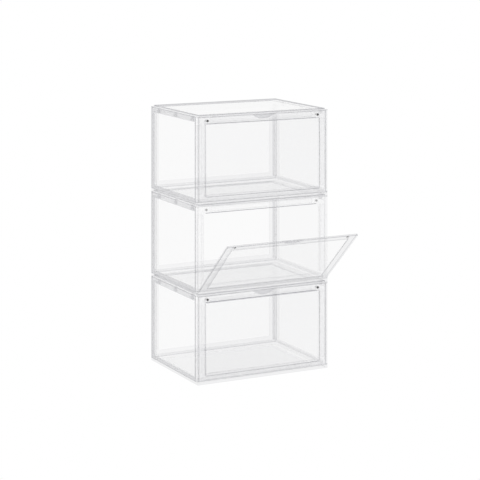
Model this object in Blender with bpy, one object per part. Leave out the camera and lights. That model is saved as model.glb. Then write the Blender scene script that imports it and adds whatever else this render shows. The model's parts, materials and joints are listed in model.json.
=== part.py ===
"""A stack of three clear drop-front shoe boxes, in metres, +Z up.

The origin is the centre of the lowest box's underside, and the doors face -Y.
Every box is the same set of pieces. The middle box's door stands part open.
"""

import math

import bmesh
import bpy
from mathutils import Matrix, Vector

# One box
WIDTH = 0.360
DEPTH = 0.270
HEIGHT = 0.218
GAP = 0.0003  # left between pieces that touch
REACH = 0.001  # how far a cutter runs past the face it enters
LEFT, RIGHT = -1, 1
X, Y, Z = range(3)

# Nesting: the ring on top of one box sits in a groove under the box above
RING_INSET = 0.0050
RING_WIDTH = 0.0022
RING_HEIGHT = 0.0034
GROOVE_INSET = 0.0044
GROOVE_CEILING = 0.0040
TOP_SURFACE = HEIGHT - RING_HEIGHT
PITCH = TOP_SURFACE + GAP

# Walls
WALL = 0.0020
WINDOW_RECESS = 0.0004
WINDOW_CORNER = 0.0015  # corner radius of the clear windows
FLANGE_TOP = 0.0066
WALL_BOTTOM = FLANGE_TOP + GAP
TOP_PLATE = 0.0018
TOP_UNDERSIDE = TOP_SURFACE - TOP_PLATE
WALL_TOP = TOP_UNDERSIDE - GAP
SIDE_INNER = WIDTH / 2 - WALL
BACK_INNER = DEPTH / 2 - WALL

# Base tray
BASE_CENTRE_TOP = 0.0018
BASE_BAND_TOP = 0.0056
BASE_BAND = 0.027
BASE_RISER = 0.0018  # wall between the sunken centre and the band round it
CURB_TOP = 0.0145
CURB_WALL = 0.0018
CURB_GAP = 0.0004
RIB_SHARES = (0.27, 0.77)  # upright ribs on the curb at the back, as shares of the width
RIB_WIDTH = 0.0018
RIB_DEPTH = 0.0020

# Front frame and its opening
FRONT = -DEPTH / 2
FRAME_DEPTH = 0.0130
FRAME_BACK = FRONT + FRAME_DEPTH
LIP = 0.0030
OPENING_SIDE = 0.0205
OPENING_BOTTOM = 0.0240
OPENING_TOP = HEIGHT - 0.0230
OPENING_CORNER = 0.0065
STEP_SIDE = 0.010
STEP_BOTTOM = 0.0130
STEP_TOP = HEIGHT - 0.0160
STEP_DEPTH = 0.0010
STEP_CORNER = 0.0090

# Channels in the back of the frame, which keep its section thin
CHANNEL_DEPTH = 0.0050
CHANNEL_SIDE_OUTER = 0.0035
CHANNEL_SIDE_INNER = 0.0160
CHANNEL_TOP_REACH = 0.140
CHANNEL_WALL = 0.0030

# Door and its hinge
DOOR_THICK = 0.0050
DOOR_SIDE_GAP = 0.0004
DOOR_BACK_GAP = 0.0004
DOOR_TOP = WALL_TOP - GAP
DOOR_HALF = WIDTH / 2 - LIP - DOOR_SIDE_GAP
DOOR_SHEET = 0.0018
DOOR_BORDER = 0.0184
DOOR_TOP_BORDER = 0.0162
DOOR_BOTTOM_BORDER = 0.0090
DOOR_CORNER = 0.0030
DOOR_LEDGE = 0.0080  # lower part of the top border, set back
DOOR_LEDGE_DEPTH = 0.0012
HINGE_Y = FRONT + DOOR_THICK / 2
HINGE_Z = 0.0098
PIN_RADIUS = 0.0015
SOCKET_RADIUS = 0.0018
OPEN_ANGLE = math.radians(49)

# Finger pull at the top of the door
PULL_WIDTH = 0.062
PULL_HEIGHT = 0.011
PULL_DEPTH = 0.0028

# Magnets in the upper corners
MAGNET_X = WIDTH / 2 - 0.0275
MAGNET_Z = WALL_TOP - 0.0095
MAGNET_RADIUS = 0.0031
MAGNET_POCKET = 0.0035
DOOR_MAGNET = 0.0020
DOOR_MAGNET_SKIN = 0.0011
CAP_THICK = 0.0011
FRAME_MAGNET = 0.0030
FRAME_MAGNET_SKIN = 0.0020

# Side and back walls
SIDE_BACK_BORDER = 0.019
SIDE_FRONT_BORDER = 0.0025
WINDOW_BOTTOM = 0.0160
SIDE_WINDOW_TOP = HEIGHT - 0.0170
BACK_BORDER = 0.020
BACK_WINDOW_BOTTOM = 0.0230
BACK_WINDOW_TOP = HEIGHT - 0.0215
POST_INSET = 0.0066  # corner posts on the back wall, from the box's side
POST_WALL = 0.0022
POST_DEPTH = 0.0150
POST_BOTTOM = 0.0160
POST_TOP = HEIGHT - 0.0170

# Top panel
TOP_SIDE_BORDER = 0.0215
TOP_BACK_BORDER = 0.017
TOP_FRONT_BORDER = 0.041
TOP_RECESS = 0.0006

# Snap tabs that hold the top to the side walls
TAB_SHARES = (0.12, 0.475, 0.84)  # from the front, as shares of the depth
TAB_WIDTH = 0.012
TAB_WALL = 0.0018
TAB_BOTTOM = HEIGHT - 0.0165
HOOK_BOTTOM = HEIGHT - 0.0145
HOOK_TOP = HEIGHT - 0.0120
HOOK_REACH = 0.0014
SLOT_MARGIN = 0.0008

# Snap notches on the outer sides of the front frame
NOTCH_Z = (0.058, 0.162)
NOTCH_HEIGHT = 0.012
NOTCH_WIDTH = 0.0035
NOTCH_DEPTH = 0.0008

CLEAR = (0.93, 0.945, 0.96, 1.0)
FROSTED = (0.86, 0.87, 0.885, 1.0)
MAGNET_DARK = (0.03, 0.03, 0.032, 1.0)
CAP_WHITE = (0.88, 0.88, 0.88, 1.0)


def clear_scene():
    for obj in list(bpy.data.objects):
        bpy.data.objects.remove(obj)


def plain_material(name, colour, roughness, metallic=0.0, transmission=0.0):
    material = bpy.data.materials.new(name)
    material.use_nodes = True
    shader = material.node_tree.nodes["Principled BSDF"]
    shader.inputs["Base Color"].default_value = colour
    shader.inputs["Roughness"].default_value = roughness
    shader.inputs["Metallic"].default_value = metallic
    shader.inputs["Transmission Weight"].default_value = transmission
    shader.inputs["IOR"].default_value = 1.5
    return material


def solid_of(mesh):
    """A nameless object, which solid_mesh uses up."""
    obj = bpy.data.objects.new("tool", mesh)
    bpy.context.scene.collection.objects.link(obj)
    return obj


def tool(bm):
    bmesh.ops.recalc_face_normals(bm, faces=bm.faces)
    mesh = bpy.data.meshes.new("tool")
    bm.to_mesh(mesh)
    bm.free()
    return solid_of(mesh)


def block(low, high):
    bm = bmesh.new()
    bmesh.ops.create_cube(bm, size=1.0)
    low, high = Vector(low), Vector(high)
    scale = Matrix.Diagonal((high - low).to_4d())
    scale[3][3] = 1.0
    bmesh.ops.transform(bm, matrix=Matrix.Translation((low + high) / 2) @ scale, verts=bm.verts)
    return tool(bm)


def rounded_block(low, high, along, radius, steps=4):
    """A block whose four edges along one axis are rounded."""
    low, high = Vector(low), Vector(high)
    across = [axis for axis in range(3) if axis != along]
    centres = (
        (high[across[0]] - radius, high[across[1]] - radius),
        (low[across[0]] + radius, high[across[1]] - radius),
        (low[across[0]] + radius, low[across[1]] + radius),
        (high[across[0]] - radius, low[across[1]] + radius),
    )
    bm = bmesh.new()
    verts = []
    for quarter, centre in enumerate(centres):
        for i in range(steps + 1):
            angle = math.pi / 2 * (quarter + i / steps)
            point = Vector((0, 0, 0))
            point[along] = low[along]
            point[across[0]] = centre[0] + radius * math.cos(angle)
            point[across[1]] = centre[1] + radius * math.sin(angle)
            verts.append(bm.verts.new(point))
    grow(bm, bm.faces.new(verts), along, high[along] - low[along])
    return tool(bm)


def grow(bm, face, along, length):
    """Turns one flat face into a prism by drawing it out along an axis."""
    grown = bmesh.ops.extrude_face_region(bm, geom=[face])
    moved = [item for item in grown["geom"] if isinstance(item, bmesh.types.BMVert)]
    step = Vector((0, 0, 0))
    step[along] = length
    bmesh.ops.translate(bm, vec=step, verts=moved)


def rod(start, end, radius, sides=24):
    """A solid cylinder from one point to another."""
    bm = bmesh.new()
    start, end = Vector(start), Vector(end)
    bmesh.ops.create_cone(
        bm,
        cap_ends=True,
        segments=sides,
        radius1=radius,
        radius2=radius,
        depth=(end - start).length,
    )
    turn = Vector((0, 0, 1)).rotation_difference(end - start).to_matrix().to_4x4()
    bmesh.ops.transform(bm, matrix=Matrix.Translation((start + end) / 2) @ turn, verts=bm.verts)
    return tool(bm)


def solid_mesh(start, added=(), cut=()):
    """One closed mesh: the start solid with some joined to it, and then others cut away."""
    for operation, others in (("UNION", added), ("DIFFERENCE", cut)):
        for other in others:
            modifier = start.modifiers.new(operation, "BOOLEAN")
            modifier.operation = operation
            modifier.object = other
            modifier.solver = "EXACT"
    graph = bpy.context.evaluated_depsgraph_get()
    mesh = bpy.data.meshes.new_from_object(start.evaluated_get(graph))
    for helper in (start, *added, *cut):
        bpy.data.objects.remove(helper)
    return mesh


def rounded(mesh):
    mesh.shade_smooth()
    mesh.set_sharp_from_angle(angle=math.radians(35))
    return mesh


def depth_place(share):
    """The place along Y at a share of the depth, from the front."""
    return FRONT + share * DEPTH


def base_tray():
    """Floor with a sunken centre, a flange under the walls, a low curb and a channel underneath."""
    flange = block((-WIDTH / 2, FRONT, 0), (WIDTH / 2, DEPTH / 2, FLANGE_TOP))
    curb_x = SIDE_INNER - CURB_GAP
    curb_front = FRAME_BACK + CURB_GAP
    curb_back = BACK_INNER - CURB_GAP
    curb = block((-curb_x, curb_front, BASE_BAND_TOP - REACH), (curb_x, curb_back, CURB_TOP))
    inside = block(
        (-curb_x + CURB_WALL, curb_front + CURB_WALL, BASE_BAND_TOP),
        (curb_x - CURB_WALL, curb_back - CURB_WALL, CURB_TOP + REACH),
    )
    centre_x = WIDTH / 2 - BASE_BAND
    centre_y = DEPTH / 2 - BASE_BAND
    centre = block((-centre_x, -centre_y, BASE_CENTRE_TOP), (centre_x, centre_y, CURB_TOP))
    channel = ring(GROOVE_INSET, BASE_BAND - BASE_RISER, -REACH, GROOVE_CEILING)
    hollow = solid_mesh(flange, added=(curb,), cut=(inside, centre, channel))
    ribs = [curb_rib(share, curb_back - CURB_WALL) for share in RIB_SHARES]
    return solid_mesh(solid_of(hollow), added=ribs)


def ring(outer_inset, inner_inset, bottom, top):
    """A rectangular ring between two insets from the box's outline."""
    outer_x, outer_y = WIDTH / 2 - outer_inset, DEPTH / 2 - outer_inset
    inner_x, inner_y = WIDTH / 2 - inner_inset, DEPTH / 2 - inner_inset
    return solid_of(
        solid_mesh(
            block((-outer_x, -outer_y, bottom), (outer_x, outer_y, top)),
            cut=(block((-inner_x, -inner_y, bottom - REACH), (inner_x, inner_y, top + REACH)),),
        )
    )


def curb_rib(share, face):
    """A short upright rib on the inner face of the curb."""
    x = -WIDTH / 2 + share * WIDTH
    return block(
        (x - RIB_WIDTH / 2, face - RIB_DEPTH, BASE_BAND_TOP - REACH),
        (x + RIB_WIDTH / 2, face + CURB_WALL / 2, CURB_TOP - CURB_GAP),
    )


def top_panel():
    """Sheet with a raised ring, a thinner clear centre and hooked tabs underneath."""
    plate = block((-WIDTH / 2, FRONT, TOP_UNDERSIDE), (WIDTH / 2, DEPTH / 2, TOP_SURFACE))
    nest = ring(RING_INSET, RING_INSET + RING_WIDTH, TOP_SURFACE - TOP_PLATE / 2, HEIGHT)
    window_x = WIDTH / 2 - TOP_SIDE_BORDER
    window = rounded_block(
        (-window_x, FRONT + TOP_FRONT_BORDER, TOP_SURFACE - TOP_RECESS),
        (window_x, DEPTH / 2 - TOP_BACK_BORDER, TOP_SURFACE + REACH),
        Z,
        WINDOW_CORNER,
    )
    tabs = [tab for side in (LEFT, RIGHT) for share in TAB_SHARES for tab in snap_tab(side, share)]
    return solid_mesh(plate, added=[nest, *tabs], cut=(window,))


def snap_tab(side, share):
    """A tongue that hangs inside the side wall, and the hook at its end."""
    y = depth_place(share)
    outer = SIDE_INNER - GAP
    inner = outer - TAB_WALL
    xs = sorted((side * inner, side * outer))
    tongue = block(
        (xs[0], y - TAB_WIDTH / 2, TAB_BOTTOM),
        (xs[1], y + TAB_WIDTH / 2, TOP_UNDERSIDE + TOP_PLATE / 2),
    )
    hook_half = TAB_WIDTH / 2 - REACH
    xs = sorted((side * (outer - TAB_WALL / 2), side * (outer + HOOK_REACH)))
    hook = block((xs[0], y - hook_half, HOOK_BOTTOM), (xs[1], y + hook_half, HOOK_TOP))
    return tongue, hook


def side_panel(side):
    """Side wall: a thin clear window in a thicker border, with slots for the top's hooks."""
    wall_front = FRAME_BACK + GAP
    xs = sorted((side * SIDE_INNER, side * WIDTH / 2))
    wall = block((xs[0], wall_front, WALL_BOTTOM), (xs[1], DEPTH / 2, WALL_TOP))
    window_front = wall_front + SIDE_FRONT_BORDER
    window_back = DEPTH / 2 - SIDE_BACK_BORDER
    cuts = []
    for face, way in ((WIDTH / 2, 1), (SIDE_INNER, -1)):
        xs = sorted((side * (face - way * WINDOW_RECESS), side * (face + way * REACH)))
        cuts.append(
            rounded_block(
                (xs[0], window_front, WINDOW_BOTTOM),
                (xs[1], window_back, SIDE_WINDOW_TOP),
                X,
                WINDOW_CORNER,
            )
        )
    slot_half = TAB_WIDTH / 2 - REACH + SLOT_MARGIN
    xs = sorted((side * (SIDE_INNER - REACH), side * (WIDTH / 2 + REACH)))
    for share in TAB_SHARES:
        y = depth_place(share)
        cuts.append(
            block(
                (xs[0], y - slot_half, HOOK_BOTTOM - SLOT_MARGIN),
                (xs[1], y + slot_half, HOOK_TOP + SLOT_MARGIN),
            )
        )
    return solid_mesh(wall, cut=cuts)


def back_panel():
    """Back wall between the side walls, with a window and two corner posts."""
    half = SIDE_INNER - GAP
    wall = block((-half, BACK_INNER, WALL_BOTTOM), (half, DEPTH / 2, WALL_TOP))
    added = []
    for side in (LEFT, RIGHT):
        outer = WIDTH / 2 - POST_INSET
        xs = sorted((side * outer, side * (outer - POST_WALL)))
        added.append(
            block(
                (xs[0], BACK_INNER - POST_DEPTH, POST_BOTTOM),
                (xs[1], BACK_INNER + WALL / 2, POST_TOP),
            )
        )
    window_x = WIDTH / 2 - BACK_BORDER
    window = rounded_block(
        (-window_x, DEPTH / 2 - WINDOW_RECESS, BACK_WINDOW_BOTTOM),
        (window_x, DEPTH / 2 + REACH, BACK_WINDOW_TOP),
        Y,
        WINDOW_CORNER,
    )
    return solid_mesh(wall, added=added, cut=(window,))


def front_frame():
    """Ring that the door closes into, with lips beside the door that hold its hinge pins."""
    ring = block((-WIDTH / 2, FRONT, WALL_BOTTOM), (WIDTH / 2, FRAME_BACK, WALL_TOP))
    pocket_x = WIDTH / 2 - LIP
    pocket_back = FRONT + DOOR_THICK + DOOR_BACK_GAP
    pocket = block(
        (-pocket_x, FRONT - REACH, WALL_BOTTOM - REACH),
        (pocket_x, pocket_back, WALL_TOP + REACH),
    )
    step_x = WIDTH / 2 - STEP_SIDE
    step = rounded_block(
        (-step_x, pocket_back - REACH, STEP_BOTTOM),
        (step_x, pocket_back + STEP_DEPTH, STEP_TOP),
        Y,
        STEP_CORNER,
    )
    opening_x = WIDTH / 2 - OPENING_SIDE
    opening = rounded_block(
        (-opening_x, FRONT - REACH, OPENING_BOTTOM),
        (opening_x, FRAME_BACK + REACH, OPENING_TOP),
        Y,
        OPENING_CORNER,
    )
    cuts = [pocket, step, opening, *frame_channels()]
    for side in (LEFT, RIGHT):
        cuts.append(
            rod(
                (side * (pocket_x - REACH), HINGE_Y, HINGE_Z),
                (side * (WIDTH / 2 + REACH), HINGE_Y, HINGE_Z),
                SOCKET_RADIUS,
            )
        )
        cuts.append(
            rod(
                (side * MAGNET_X, pocket_back + FRAME_MAGNET_SKIN, MAGNET_Z),
                (side * MAGNET_X, FRAME_BACK + REACH, MAGNET_Z),
                MAGNET_POCKET,
            )
        )
        cuts += [snap_notch(side, z) for z in NOTCH_Z]
    return solid_mesh(ring, cut=cuts)


def frame_channels():
    """Cutters for the channels behind the frame's four bars."""
    front = FRAME_BACK - CHANNEL_DEPTH
    back = FRAME_BACK + REACH
    bottom = (WALL_BOTTOM + CHANNEL_WALL, OPENING_BOTTOM - CHANNEL_WALL)
    top = (OPENING_TOP + CHANNEL_WALL, WALL_TOP - CHANNEL_WALL)
    half = WIDTH / 2 - OPENING_SIDE
    channels = [
        block((-half, front, bottom[0]), (half, back, bottom[1])),
        block((-CHANNEL_TOP_REACH, front, top[0]), (CHANNEL_TOP_REACH, back, top[1])),
    ]
    for side in (LEFT, RIGHT):
        outer = side * (WIDTH / 2 - CHANNEL_SIDE_OUTER)
        inner = side * (WIDTH / 2 - CHANNEL_SIDE_INNER)
        xs = sorted((inner, outer))
        low = OPENING_BOTTOM + CHANNEL_WALL
        high = OPENING_TOP - CHANNEL_WALL
        channels.append(block((xs[0], front, low), (xs[1], back, high)))
    return channels


def snap_notch(side, z):
    """Cutter for a shallow upright notch in the frame's outer side."""
    xs = sorted((side * (WIDTH / 2 - NOTCH_DEPTH), side * (WIDTH / 2 + REACH)))
    y = FRAME_BACK - FRAME_DEPTH / 2
    return block(
        (xs[0], y - NOTCH_WIDTH / 2, z - NOTCH_HEIGHT / 2),
        (xs[1], y + NOTCH_WIDTH / 2, z + NOTCH_HEIGHT / 2),
    )


def door_slab():
    """The door's outline seen from the side, with its bottom edge rounded about the hinge."""
    bm = bmesh.new()
    radius = DOOR_THICK / 2
    steps = 12
    outline = [(FRONT, DOOR_TOP), (FRONT + DOOR_THICK, DOOR_TOP)]
    for i in range(steps + 1):
        angle = math.pi * i / steps
        outline.append((HINGE_Y + radius * math.cos(angle), HINGE_Z - radius * math.sin(angle)))
    verts = [bm.verts.new((-DOOR_HALF, y, z)) for y, z in outline]
    grow(bm, bm.faces.new(verts), X, 2 * DOOR_HALF)
    return tool(bm)


def finger_pull():
    """Cutter for the crescent at the middle of the door's top edge."""
    radius = (PULL_WIDTH**2 / 4 + PULL_HEIGHT**2) / (2 * PULL_HEIGHT)
    centre_z = DOOR_TOP - PULL_HEIGHT + radius
    return rod((0, FRONT - REACH, centre_z), (0, FRONT + PULL_DEPTH, centre_z), radius, sides=120)


def door():
    """Door, closed: a clear sheet in a deeper border, with hinge pins and magnet pockets."""
    inner_face = FRONT + DOOR_THICK
    pins = [
        rod(
            (side * (DOOR_HALF - REACH), HINGE_Y, HINGE_Z),
            (side * (WIDTH / 2 - GAP), HINGE_Y, HINGE_Z),
            PIN_RADIUS,
            sides=16,
        )
        for side in (LEFT, RIGHT)
    ]
    window_x = DOOR_HALF - DOOR_BORDER
    window_top = DOOR_TOP - DOOR_TOP_BORDER
    window = rounded_block(
        (-window_x, FRONT + DOOR_SHEET, HINGE_Z + DOOR_BOTTOM_BORDER),
        (window_x, inner_face + REACH, window_top),
        Y,
        DOOR_CORNER,
    )
    ledge = block(
        (-window_x, inner_face - DOOR_LEDGE_DEPTH, window_top - 2 * DOOR_CORNER),
        (window_x, inner_face + REACH, window_top + DOOR_LEDGE),
    )
    cuts = [window, ledge, finger_pull()]
    for side in (LEFT, RIGHT):
        cuts.append(
            rod(
                (side * MAGNET_X, FRONT + DOOR_MAGNET_SKIN, MAGNET_Z),
                (side * MAGNET_X, inner_face + REACH, MAGNET_Z),
                MAGNET_POCKET,
            )
        )
    return solid_mesh(door_slab(), added=pins, cut=cuts)


def disc(side, start, thickness):
    """A short round piece on the magnets' line, its front face at start."""
    return solid_mesh(
        rod(
            (side * MAGNET_X, start, MAGNET_Z),
            (side * MAGNET_X, start + thickness, MAGNET_Z),
            MAGNET_RADIUS,
        )
    )


def box_pieces():
    """Every piece of one box, closed, with its base at the origin: name, mesh, material, on_door."""
    clear = plain_material("clear_plastic", CLEAR, 0.08, transmission=0.9)
    frosted = plain_material("frosted_plastic", FROSTED, 0.35, transmission=0.7)
    dark = plain_material("magnet_dark", MAGNET_DARK, 0.35, metallic=0.9)
    white = plain_material("cap_white", CAP_WHITE, 0.4)
    pieces = [
        ("base_tray", base_tray(), frosted, False),
        ("top_panel", top_panel(), clear, False),
        ("left_panel", side_panel(LEFT), clear, False),
        ("right_panel", side_panel(RIGHT), clear, False),
        ("back_panel", back_panel(), clear, False),
        ("front_frame", front_frame(), frosted, False),
        ("door", door(), clear, True),
    ]
    door_magnet_y = FRONT + DOOR_MAGNET_SKIN + GAP
    cap_y = door_magnet_y + DOOR_MAGNET + GAP
    frame_magnet_y = FRONT + DOOR_THICK + DOOR_BACK_GAP + FRAME_MAGNET_SKIN + GAP
    for side, word in ((LEFT, "left"), (RIGHT, "right")):
        pieces.append((f"{word}_door_magnet", disc(side, door_magnet_y, DOOR_MAGNET), dark, True))
        pieces.append((f"{word}_magnet_cap", disc(side, cap_y, CAP_THICK), white, True))
        pieces.append(
            (f"{word}_frame_magnet", disc(side, frame_magnet_y, FRAME_MAGNET), dark, False)
        )
    for _, mesh, material, _ in pieces:
        mesh.materials.append(material)
        rounded(mesh)
    return pieces


def build_box(word, base_z, open_angle, pieces):
    """Places one box's pieces. Those on the door hang from an empty on its hinge axis."""
    hinge = bpy.data.objects.new(f"{word}_hinge", None)
    hinge.location = (0, HINGE_Y, base_z + HINGE_Z)
    hinge.rotation_euler = (open_angle, 0, 0)
    bpy.context.scene.collection.objects.link(hinge)
    for name, mesh, _, on_door in pieces:
        obj = bpy.data.objects.new(f"{word}_{name}", mesh)
        bpy.context.scene.collection.objects.link(obj)
        if on_door:
            obj.parent = hinge
            obj.location = (0, -HINGE_Y, -HINGE_Z)
        else:
            obj.location = (0, 0, base_z)


def main():
    clear_scene()
    pieces = box_pieces()
    build_box("lower", 0.0, 0.0, pieces)
    build_box("middle", PITCH, OPEN_ANGLE, pieces)
    build_box("upper", 2 * PITCH, 0.0, pieces)


main()
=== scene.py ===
"""Looks for a stack of three clear drop-front shoe boxes, in metres, +Z up.

Each box has the same moulded pieces, so a piece's fine mesh is made once, from the lowest
box's CAD node, and placed for all three boxes. The middle box's door stands part open.
"""

import json
import math
from collections import namedtuple

import bmesh
import bpy
from mathutils import Matrix, Vector

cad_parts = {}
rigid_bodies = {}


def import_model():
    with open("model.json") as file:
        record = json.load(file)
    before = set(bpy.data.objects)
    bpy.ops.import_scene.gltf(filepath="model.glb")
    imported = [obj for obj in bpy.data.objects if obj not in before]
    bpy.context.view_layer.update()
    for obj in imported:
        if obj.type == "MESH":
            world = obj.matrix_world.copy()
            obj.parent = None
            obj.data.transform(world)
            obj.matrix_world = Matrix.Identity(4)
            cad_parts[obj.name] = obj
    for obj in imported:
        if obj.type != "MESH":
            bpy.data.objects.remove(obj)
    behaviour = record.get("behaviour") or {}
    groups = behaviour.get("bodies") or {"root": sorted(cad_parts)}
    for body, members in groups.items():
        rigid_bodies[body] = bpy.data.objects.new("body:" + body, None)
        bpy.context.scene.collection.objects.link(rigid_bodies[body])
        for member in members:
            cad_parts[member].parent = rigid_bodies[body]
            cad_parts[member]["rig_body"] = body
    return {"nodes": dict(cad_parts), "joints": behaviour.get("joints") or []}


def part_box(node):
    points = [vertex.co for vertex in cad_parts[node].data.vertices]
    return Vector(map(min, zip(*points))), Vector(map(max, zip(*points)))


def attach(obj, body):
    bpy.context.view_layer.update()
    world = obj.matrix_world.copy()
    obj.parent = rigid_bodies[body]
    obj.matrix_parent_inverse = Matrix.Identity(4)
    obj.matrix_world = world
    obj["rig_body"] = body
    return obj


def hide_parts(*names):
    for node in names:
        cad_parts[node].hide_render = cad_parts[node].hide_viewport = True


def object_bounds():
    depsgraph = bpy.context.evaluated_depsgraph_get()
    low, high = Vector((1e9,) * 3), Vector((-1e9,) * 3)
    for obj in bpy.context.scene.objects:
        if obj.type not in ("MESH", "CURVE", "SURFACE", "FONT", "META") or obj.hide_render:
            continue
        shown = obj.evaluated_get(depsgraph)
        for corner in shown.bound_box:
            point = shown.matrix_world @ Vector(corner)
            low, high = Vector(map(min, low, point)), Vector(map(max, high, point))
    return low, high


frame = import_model()
cad_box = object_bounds()

# Pieces
TIERS = ("lower", "middle", "upper")
LOWEST = TIERS[0]
SIDES = ("left", "right")
ON_BOX = ("base_tray", "top_panel", "left_panel", "right_panel", "back_panel", "front_frame")
ON_DOOR = ("door",)

# Kinds of face on every piece, in the order of its material slots
KINDS = ("window", "border", "edge", "step", "crease", "reveal", "underside")
WINDOW, BORDER, EDGE, STEP, CREASE, REVEAL, UNDERSIDE = range(len(KINDS))

# Telling the kinds of face apart, in metres and square metres
WELD = 1e-6
FLAT_ANGLE = math.radians(1.0)
CREASE_ANGLE = math.radians(30.0)
FACING = 0.9  # a face whose normal holds this much of an axis faces along it
EDGE_WIDTH = 0.0034  # a flat region narrower than this is the end face of a wall
REVEAL_WIDTH = 0.0085  # and one narrower than this is the inner side of an opening or a ledge
UNDERSIDE_WIDTH = 0.0055  # the top of an opening is wider than this, and is painted dark as shade, reading as a dark line
FACET_AREA = 0.0004  # a facet of a rounded stretch, as in the finger pull, is smaller than this
WINDOW_SHARE = 0.45  # a flat region this large in its piece's outline is a clear window
PULL_AREA = 0.0006  # the floor of the finger pull is smaller than this
STEP_DEEPEST = 0.0025  # a face sunk by less than this has a strip of painted shade drawn round its inside
STEP_STRIP = 0.0012

# Rounding of edges
ROUND_MOST = 0.0012
ROUND_SHARE = 0.28  # of the narrower region beside an edge
ROUND_STEPS = 2
CRISP = 0.0008  # the edges of a dark underside are rounded as if it were this narrow

# Finishes of the plastic, and the one for each kind of face; SHADED is painted shade
Finish = namedtuple("Finish", "milk roughness grain mirror")
POLISHED = Finish(0.004, 0.05, 0.0, 1.0)
TEXTURED = Finish(0.12, 0.35, 1.0, 1.0)
SATIN = Finish(0.06, 0.15, 0.3, 1.0)
SHADED = Finish(0.06, 0.25, 0.3, 0.25)  # painted shade: mirrors little, so it reads as a dark line
FINISHES = (POLISHED, TEXTURED, SATIN, SHADED, SHADED, SATIN, SHADED)

# Share of light that one face passes straight on, by part and by kind of face.
# Window and border values hold the plastic's own clearness and frosting, with painted shade
# in the differences between parts, such as the right panel's darker window and the left panel's
# darker border. The darker edge, step, crease, reveal and underside values are painted shade,
# for the dark lines that light draws at the plastic's edges, steps and openings.
TINTS_AND_PAINTED_SHADE = {
    "base_tray": (0.918, 0.950, 0.95, 0.90, 0.92, 0.93, 0.97),
    "top_panel": (0.995, 0.945, 0.75, 0.30, 0.80, 0.96, 0.95),
    "left_panel": (0.999, 0.870, 0.80, 0.90, 0.52, 0.93, 0.90),
    "right_panel": (0.972, 0.945, 0.92, 0.94, 0.92, 0.97, 0.93),
    "back_panel": (0.982, 0.905, 0.85, 0.90, 0.74, 0.93, 0.95),
    "front_frame": (0.980, 0.974, 0.98, 0.82, 0.88, 0.985, 0.04),
    "door": (0.980, 0.960, 0.85, 0.74, 0.66, 0.92, 0.80),
}
PAINTED_SLANT_SHADE = {"door": 0.20}  # painted shade: how much darker its textured faces are painted besides, at a slanted view
SLANT_POWER = 2.0
BLUE_KEPT = 0.05  # of what a face takes out of the light, this share of the blue still passes
MILK_COLOUR = (0.84, 0.84, 0.85, 1.0)
WHITE = (1.0, 1.0, 1.0, 1.0)
HEAD_ON_MIRROR = 0.04
GRAZING_POWER = 5.0
EVEN_BLEND = 0.5  # the blend at which a layer weight's facing value isn't bent

# Noise on the pieces: features per metre, octaves, and how far it swings a value either way
Pattern = namedtuple("Pattern", "scale detail swing")
GRAIN = Pattern(1400.0, 3.0, 0.35)
FLOW = Pattern(9.0, 2.0, 0.003)
SMEAR = Pattern(38.0, 4.0, 0.5)
WEAR = Pattern(900.0, 3.0, 0.125)
GRAIN_DEPTH = 0.00003

# Magnets and their caps
# A disc's colour head on, and the painted glint it turns to at a slant: a painted reflection of the
# room in its plating
Disc = namedtuple("Disc", "dark bright roughness metallic")
DISCS = {
    "plated_magnet": Disc(0.012, 0.75, 0.35, 0.6),
    "steel_keeper": Disc(0.30, 0.60, 0.40, 0.3),
    "white_cap": Disc(0.85, 0.85, 0.40, 0.0),
}
SLANT_SPAN = (0.35, 0.55)  # slants of view between which a disc's painted reflection turns from dark to bright
SmallPiece = namedtuple("SmallPiece", "disc slot_name on_door")
SMALL_PIECES = {
    "door_magnet": SmallPiece("plated_magnet", "magnet_metal", True),
    "magnet_cap": SmallPiece("white_cap", "cap_plastic", True),
    "frame_magnet": SmallPiece("steel_keeper", "magnet_metal", False),
}

# Camera
CAMERA_PLACE = (-1.961, -3.815, 1.112)
CAMERA_YAW = math.radians(27.25)
CAMERA_LENS = 127.95
CAMERA_SHIFT = -0.66315
CAMERA_SLACK = 0.001  # a camera within this of its own place counts as there

# Floor and light
FLOOR_SIDE = 60.0
FLOOR_DROP = 0.0005
FLOOR_BOUNCE = (0.90, 0.90, 0.90, 1.0)  # what the floor sends back up onto the boxes
PAPER_WHITE = 1.0
SKY_STRENGTH = 0.95
KEY_STRENGTH = 0.7
KEY_SPREAD = math.radians(40)
KEY_FROM = Vector((-0.24, -0.88, 0.40))
SEE_THROUGH_MOST = 64  # clear faces that one line of sight may pass


def hinge_of(tier):
    """A door hinge's place in the frame, and how far the door stands open there."""
    joint = next(j for j in frame["joints"] if j["name"] == f"{tier}_door_hinge")
    return Vector(joint["pos_m"]), -math.radians(joint["range_deg"][0])


def placement(tier, on_door):
    """Where a piece of the lowest, closed box goes for this tier."""
    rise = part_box(f"{tier}_base_tray")[0].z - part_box(f"{LOWEST}_base_tray")[0].z
    place = Matrix.Translation((0, 0, rise))
    if on_door:
        pivot, _ = hinge_of(LOWEST)
        _, opened = hinge_of(tier)
        turn = Matrix.Rotation(opened, 4, "X")
        place = place @ Matrix.Translation(pivot) @ turn @ Matrix.Translation(-pivot)
    return place


def flat_regions(bm):
    """Groups of joined faces that lie in one plane."""
    found = []
    seen = set()
    for start in bm.faces:
        if start in seen:
            continue
        region, queue = [], [start]
        seen.add(start)
        while queue:
            face = queue.pop()
            region.append(face)
            for edge in face.edges:
                for other in edge.link_faces:
                    if other not in seen and other.normal.angle(start.normal, 0) < FLAT_ANGLE:
                        seen.add(other)
                        queue.append(other)
        found.append(region)
    return found


def outline(region):
    """Each edge on a region's outline, with the face on its far side."""
    inside = set(region)
    for face in region:
        for edge in face.edges:
            for other in edge.link_faces:
                if other not in inside:
                    yield edge, other


def area_of(region):
    return sum(face.calc_area() for face in region)


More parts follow.
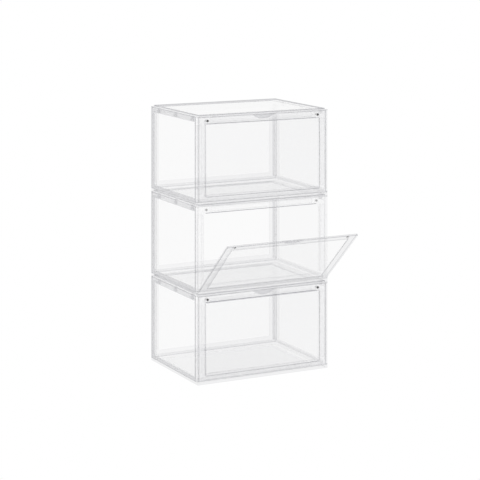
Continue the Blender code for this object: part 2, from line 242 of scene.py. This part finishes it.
def width_of(region):
    """Roughly how wide a flat region is: twice its area over its outline's length."""
    length = sum(edge.calc_length() for edge, _ in outline(region))
    return 2 * area_of(region) / max(length, WELD)


def bounding_box(bm):
    """Lowest and highest corner of a mesh."""
    places = list(zip(*(vert.co for vert in bm.verts)))
    return Vector(map(min, places)), Vector(map(max, places))


def box_area(size, normal):
    """Area of a box of this size, seen along a normal."""
    return (
        abs(normal.x) * size.y * size.z
        + abs(normal.y) * size.z * size.x
        + abs(normal.z) * size.x * size.y
    )


def is_curved(face):
    """True for a face of a rounded stretch, which meets another at a slight angle."""
    return any(FLAT_ANGLE < edge.calc_face_angle(0) < CREASE_ANGLE for edge in face.edges)


def is_facet(region):
    """True for a small facet of a rounded stretch."""
    return area_of(region) < FACET_AREA and is_curved(region[0])


def is_overhead(face, middle):
    """True for a downward face in the upper half of its piece, such as the top of an opening."""
    return face.normal.z < -FACING and face.calc_center_median().z > middle


def is_sunk(region, widths):
    """True for a face set back from its neighbours by a shallow step."""
    return any(widths[other] < STEP_DEEPEST and not edge.is_convex for edge, other in outline(region))


def is_pull_floor(region, facets):
    """True for a small front-facing face in a rounded hollow, such as the finger pull's floor."""
    small = area_of(region) < PULL_AREA and region[0].normal.y < -FACING
    hollows = [edge for face in region for edge in face.edges if not edge.is_convex]
    return small and any(not facets.isdisjoint(edge.link_faces) for edge in hollows)


def kind_of(region, low, high):
    """Which kind of face a flat region is, in a piece that spans from low to high."""
    width = width_of(region)
    if width < EDGE_WIDTH:
        return EDGE
    if width < REVEAL_WIDTH:
        # A wide downward face high in the piece is painted dark as shade, in the underside slot
        dark = width > UNDERSIDE_WIDTH and is_overhead(region[0], (low.z + high.z) / 2)
        return UNDERSIDE if dark else REVEAL
    if is_facet(region):
        return REVEAL
    is_window = area_of(region) > WINDOW_SHARE * box_area(high - low, region[0].normal)
    return WINDOW if is_window else BORDER


def sort_faces(bm, regions):
    """Gives each face the material slot of its kind."""
    low, high = bounding_box(bm)
    for region in regions:
        kind = kind_of(region, low, high)
        for face in region:
            face.material_index = kind


def weigh_edges(bm, widths, facets):
    """Sets how far each sharp edge is rounded, by the narrower face beside it."""
    weight = bm.edges.layers.float.new("bevel_weight_edge")
    for edge in bm.edges:
        beside = edge.link_faces
        if edge.calc_face_angle(0) > CREASE_ANGLE and facets.isdisjoint(beside):
            crisp = any(face.material_index == UNDERSIDE for face in beside)
            narrow = CRISP if crisp else min(widths[face] for face in beside)
            edge[weight] = min(1.0, ROUND_SHARE * narrow / ROUND_MOST)


def draw_steps(bm, regions, widths, facets):
    """Paints shade on the finger pull's floor, and draws a strip of painted shade round the inside of
    each sunk region.
    """
    has_window = any(face.material_index == WINDOW for face in bm.faces)
    stepped = WINDOW if has_window else BORDER
    for region in regions:
        if is_pull_floor(region, facets):
            for face in region:
                face.material_index = STEP
        if region[0].material_index == stepped and is_sunk(region, widths):
            strip = bmesh.ops.inset_region(
                bm, faces=region, thickness=STEP_STRIP, use_even_offset=True
            )
            for face in strip["faces"]:
                face.material_index = STEP
                widths[face] = STEP_STRIP


def fine_mesh(part):
    """The CAD mesh of a part as clean flat faces, with slots and edge rounding set."""
    bm = bmesh.new()
    bm.from_mesh(frame["nodes"][f"{LOWEST}_{part}"].data)
    bmesh.ops.remove_doubles(bm, verts=bm.verts, dist=WELD)
    bmesh.ops.dissolve_limit(bm, angle_limit=FLAT_ANGLE, verts=bm.verts, edges=bm.edges)
    bm.normal_update()
    regions = flat_regions(bm)
    facets = {face for region in regions if is_facet(region) for face in region}
    widths = {}
    for region in regions:
        widths.update(dict.fromkeys(region, width_of(region)))
    sort_faces(bm, regions)
    weigh_edges(bm, widths, facets)
    draw_steps(bm, regions, widths, facets)
    for face in bm.faces:
        face.smooth = face.material_index not in (WINDOW, BORDER) and is_curved(face)
    bmesh.ops.triangulate(bm, faces=bm.faces)
    mesh = bpy.data.meshes.new(part)
    bm.to_mesh(mesh)
    bm.free()
    return mesh


def round_edges(obj):
    """Rounds the weighted edges, into the slot for creases, whose darker colour is painted shade."""
    bevel = obj.modifiers.new("rounded_edges", "BEVEL")
    bevel.limit_method = "WEIGHT"
    bevel.width = ROUND_MOST
    bevel.segments = ROUND_STEPS
    bevel.use_clamp_overlap = False
    bevel.material = CREASE


def place_part(part, materials, on_door):
    """Puts a part on all three boxes, in place of its CAD nodes.

    A piece throws no shadow and shows in no reflection, so the clear walls stay clean.
    """
    mesh = fine_mesh(part)
    for material in materials:
        mesh.materials.append(material)
    for tier in TIERS:
        name = f"{tier}_{part}"
        piece = bpy.data.objects.new(f"{name}_moulded", mesh)
        bpy.context.scene.collection.objects.link(piece)
        piece.matrix_world = placement(tier, on_door)
        piece.visible_shadow = False
        piece.visible_diffuse = False
        piece.visible_glossy = False
        round_edges(piece)
        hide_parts(name)
        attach(piece, frame["nodes"][name]["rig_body"])


def feed(tree, socket, value):
    """Sets a node's input to a value, or links it to another node's output."""
    if isinstance(value, bpy.types.NodeSocket):
        tree.links.new(value, socket)
    else:
        socket.default_value = value


def node(tree, kind, **inputs):
    """A shader node with its inputs set by name, where _ stands for a space."""
    made = tree.nodes.new(kind)
    for name, value in inputs.items():
        feed(tree, made.inputs[name.replace("_", " ")], value)
    return made


def in_order(made, tree, values):
    """Sets a node's inputs in their order, and gives its first output."""
    for socket, value in zip(made.inputs, values):
        feed(tree, socket, value)
    return made.outputs[0]


def maths(tree, operation, *values):
    made = tree.nodes.new("ShaderNodeMath")
    made.operation = operation
    return in_order(made, tree, values)


def blend_shaders(tree, share, first, second):
    """Two shaders mixed: all of the first where the share is 0, all of the second where it is 1."""
    return in_order(tree.nodes.new("ShaderNodeMixShader"), tree, (share, first, second))


def show(tree, kind, shader):
    """Sends a shader to the output of a material or a world."""
    tree.links.new(shader, tree.nodes.new(kind).inputs["Surface"])


def empty_tree(owner):
    """The cleared node tree of a material or a world."""
    owner.use_nodes = True
    owner.node_tree.nodes.clear()
    return owner.node_tree


def slant(tree):
    """0 where a face is seen head on and 1 at a grazing view, from either side."""
    return node(tree, "ShaderNodeLayerWeight", Blend=EVEN_BLEND).outputs["Facing"]


def own_place(tree):
    """Where a point is on the piece, whatever the pose."""
    return tree.nodes.new("ShaderNodeTexCoord").outputs["Object"]


def noise(tree, pattern):
    """Noise over the piece's own surface, within 1 either way of 0."""
    texture = node(
        tree, "ShaderNodeTexNoise", Vector=own_place(tree), Scale=pattern.scale, Detail=pattern.detail
    )
    return maths(tree, "MULTIPLY_ADD", texture.outputs["Fac"], 2.0, -1.0)


def mirror_share(tree):
    """How much a plastic face mirrors: little head on, and all at a grazing view."""
    steep = maths(tree, "POWER", slant(tree), GRAZING_POWER)
    return maths(tree, "MULTIPLY_ADD", steep, 1 - HEAD_ON_MIRROR, HEAD_ON_MIRROR)


def tint_and_shade_colour(tree, tint_and_shade, slant_shade):
    """The colour a face lends to the light that passes it, varying softly as moulded sheet does.

    It holds the plastic's own tint and painted shade; the painted slant shade darkens it further at a
    slanted view.
    """
    level = maths(tree, "MULTIPLY_ADD", noise(tree, FLOW), FLOW.swing, tint_and_shade)
    slanted = maths(tree, "POWER", slant(tree), SLANT_POWER)
    level = maths(tree, "MULTIPLY_ADD", slanted, -slant_shade, level)
    level = maths(tree, "MINIMUM", level, 1.0)
    blue = maths(tree, "MULTIPLY_ADD", level, 1 - BLUE_KEPT, BLUE_KEPT)
    return node(tree, "ShaderNodeCombineColor", Red=level, Green=level, Blue=blue).outputs[0]


def magnet_spot(tree):
    """0 in front of a magnet and 1 elsewhere: the mould is polished where a magnet shows through."""
    low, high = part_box(f"{LOWEST}_right_door_magnet")
    centre = (low + high) / 2
    axes = node(tree, "ShaderNodeSeparateXYZ", Vector=own_place(tree))
    across = maths(tree, "SUBTRACT", maths(tree, "ABSOLUTE", axes.outputs["X"]), centre.x)
    up = maths(tree, "SUBTRACT", axes.outputs["Z"], centre.z)
    squares = [maths(tree, "MULTIPLY", offset, offset) for offset in (across, up)]
    distance = maths(tree, "SQRT", maths(tree, "ADD", *squares))
    return maths(tree, "GREATER_THAN", distance, (high.x - low.x) / 2)


def plastic(name, tint_and_shade, finish, slant_shade, spot):
    """A see-through plastic face: most light passes, a milky share is lit on it, and it mirrors."""
    material = bpy.data.materials.new(name)
    tree = empty_tree(material)
    grain = noise(tree, GRAIN)
    milk = maths(tree, "MULTIPLY_ADD", grain, GRAIN.swing * finish.milk, finish.milk)
    if spot:
        milk = maths(tree, "MULTIPLY", milk, magnet_spot(tree))
    smear = maths(tree, "MULTIPLY_ADD", noise(tree, SMEAR), SMEAR.swing, 1.0)
    roughness = maths(tree, "MULTIPLY", smear, finish.roughness)
    bump = node(tree, "ShaderNodeBump", Height=grain, Distance=GRAIN_DEPTH, Strength=finish.grain)
    # The colour of the passing light carries the plastic's tint and painted shade
    clear = node(tree, "ShaderNodeBsdfTransparent", Color=tint_and_shade_colour(tree, tint_and_shade, slant_shade))
    body = node(tree, "ShaderNodeBsdfDiffuse", Color=MILK_COLOUR)
    gloss = node(tree, "ShaderNodeBsdfGlossy", Color=WHITE, Roughness=roughness)
    if finish.grain:
        for lit in (body, gloss):
            tree.links.new(bump.outputs[0], lit.inputs["Normal"])
    inner = blend_shaders(tree, milk, clear.outputs[0], body.outputs[0])
    mirrored = maths(tree, "MULTIPLY", mirror_share(tree), finish.mirror)
    show(tree, "ShaderNodeOutputMaterial", blend_shaders(tree, mirrored, inner, gloss.outputs[0]))
    return material


def plastic_set(part):
    """The materials of a moulded part, in the order of its slots."""
    made = []
    # Each kind's value holds painted shade along with the tint, and the door's slant shade is painted
    # shade
    for kind, tint_and_shade, finish in zip(KINDS, TINTS_AND_PAINTED_SHADE[part], FINISHES):
        slant_shade = PAINTED_SLANT_SHADE.get(part, 0) * finish.grain
        made.append(plastic(f"{part}_{kind}", tint_and_shade, finish, slant_shade, part in ON_DOOR))
    return made


def disc_set(name):
    """One material in every slot, for a small smooth disc.

    Its colour is painted dark head on and bright at a slant, a painted reflection of the room in its
    plating; the white cap keeps one colour at every slant.
    """
    disc = DISCS[name]
    material = bpy.data.materials.new(name)
    material.use_nodes = True
    tree = material.node_tree
    shader = tree.nodes["Principled BSDF"]
    ramp = node(tree, "ShaderNodeValToRGB", Fac=slant(tree))
    ends = zip(ramp.color_ramp.elements, SLANT_SPAN, (disc.dark, disc.bright))
    for element, position, level in ends:
        element.position = position
        element.color = (level, level, level, 1)
    worn = maths(tree, "MULTIPLY_ADD", noise(tree, WEAR), WEAR.swing, disc.roughness)
    feed(tree, shader.inputs["Base Color"], ramp.outputs["Color"])
    feed(tree, shader.inputs["Roughness"], worn)
    feed(tree, shader.inputs["Metallic"], disc.metallic)
    return [material] * len(KINDS)


def build_pieces():
    """Places every moulded part, and the magnets and caps of both sides."""
    for part in ON_BOX + ON_DOOR:
        place_part(part, plastic_set(part), part in ON_DOOR)
    disc_sets = {name: disc_set(name) for name in DISCS}
    for side in SIDES:
        for kind, small in SMALL_PIECES.items():
            place_part(f"{side}_{kind}", disc_sets[small.disc], small.on_door)


def add_camera():
    """Level camera, so that upright edges stay parallel, with its view shifted down.

    The shift belongs to this place only, so a driver drops it if the camera is moved.
    """
    data = bpy.data.cameras.new("camera")
    camera = bpy.data.objects.new("camera", data)
    bpy.context.scene.collection.objects.link(camera)
    camera.location = CAMERA_PLACE
    camera.rotation_euler = (math.pi / 2, 0, -CAMERA_YAW)
    data.lens = CAMERA_LENS
    driver = data.driver_add("shift_y").driver
    driver.type = "SCRIPTED"
    place = driver.variables.new()
    place.name = "place"
    place.type = "TRANSFORMS"
    place.targets[0].id = camera
    place.targets[0].transform_type = "LOC_X"
    at_home = f"abs(place - {CAMERA_PLACE[0]}) < {CAMERA_SLACK}"
    driver.expression = f"{CAMERA_SHIFT} if {at_home} else 0.0"
    bpy.context.scene.camera = camera


def add_floor():
    """A pale seamless floor. The camera sees it evenly lit; the boxes see a darker bounce."""
    bm = bmesh.new()
    bmesh.ops.create_grid(bm, x_segments=1, y_segments=1, size=FLOOR_SIDE / 2)
    mesh = bpy.data.meshes.new("floor")
    bm.to_mesh(mesh)
    bm.free()
    floor = bpy.data.objects.new("floor", mesh)
    floor.location.z = cad_box[0].z - FLOOR_DROP
    bpy.context.scene.collection.objects.link(floor)
    material = bpy.data.materials.new("floor_paper")
    tree = empty_tree(material)
    seen = tree.nodes.new("ShaderNodeLightPath").outputs["Is Camera Ray"]
    even = node(tree, "ShaderNodeEmission", Color=WHITE, Strength=PAPER_WHITE)
    paper = node(tree, "ShaderNodeBsdfDiffuse", Color=FLOOR_BOUNCE)
    both = blend_shaders(tree, seen, paper.outputs[0], even.outputs[0])
    show(tree, "ShaderNodeOutputMaterial", both)
    mesh.materials.append(material)


def add_surroundings():
    """Even white surroundings, a little brighter to the camera than they light the boxes."""
    world = bpy.data.worlds.new("studio")
    tree = empty_tree(world)
    seen = tree.nodes.new("ShaderNodeLightPath").outputs["Is Camera Ray"]
    lit = node(tree, "ShaderNodeBackground", Color=WHITE, Strength=SKY_STRENGTH)
    even = node(tree, "ShaderNodeBackground", Color=WHITE, Strength=PAPER_WHITE)
    both = blend_shaders(tree, seen, lit.outputs[0], even.outputs[0])
    show(tree, "ShaderNodeOutputWorld", both)
    bpy.context.scene.world = world


def add_key():
    """One wide soft light from in front, a little above."""
    sun = bpy.data.lights.new("key", "SUN")
    sun.energy = KEY_STRENGTH
    sun.angle = KEY_SPREAD
    key = bpy.data.objects.new("key", sun)
    key.rotation_euler = KEY_FROM.to_track_quat("Z", "Y").to_euler()
    bpy.context.scene.collection.objects.link(key)


build_pieces()
add_floor()
add_surroundings()
add_key()
add_camera()
bpy.context.scene.view_settings.view_transform = "Standard"
bpy.context.scene.cycles.transparent_max_bounces = SEE_THROUGH_MOST
